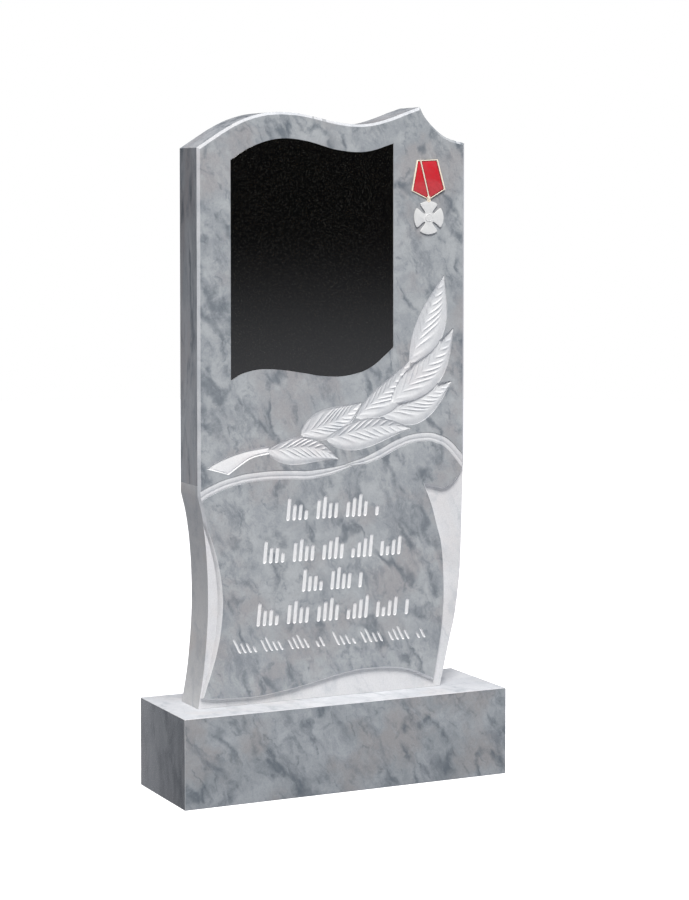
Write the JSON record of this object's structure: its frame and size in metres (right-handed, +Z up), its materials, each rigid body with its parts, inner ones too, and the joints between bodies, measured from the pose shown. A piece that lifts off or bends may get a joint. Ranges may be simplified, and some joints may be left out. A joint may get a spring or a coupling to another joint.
{
  "type": "upright headstone",
  "caption": "Upright marble headstone with a wavy top, inset dark portrait panel, carved leaf branch, unrolled parchment field with stroke rows, small enamelled medal and a plinth.",
  "frame": {"origin": "middle of the plinth's underside", "axes": "+Z up, the carved face looks along -Y, and +X runs to the right of somebody who faces it"},
  "size_m": [0.6, 0.2, 1.1543],
  "materials": {
    "plinth_marble": "polished grey-blue veined marble",
    "stele_marble": "polished grey-blue veined marble, with tooled carving and ground left white",
    "black_gabbro": "mirror-polished black gabbro with fine specks",
    "enamel": "hard enamel on metal: red ribbon with a cream rim, white cross"
  },
  "bodies": {
    "root": {"plinth": "plinth_marble", "stele": "stele_marble", "portrait_panel": "black_gabbro", "medal": "enamel"}
  },
  "joints": []
}
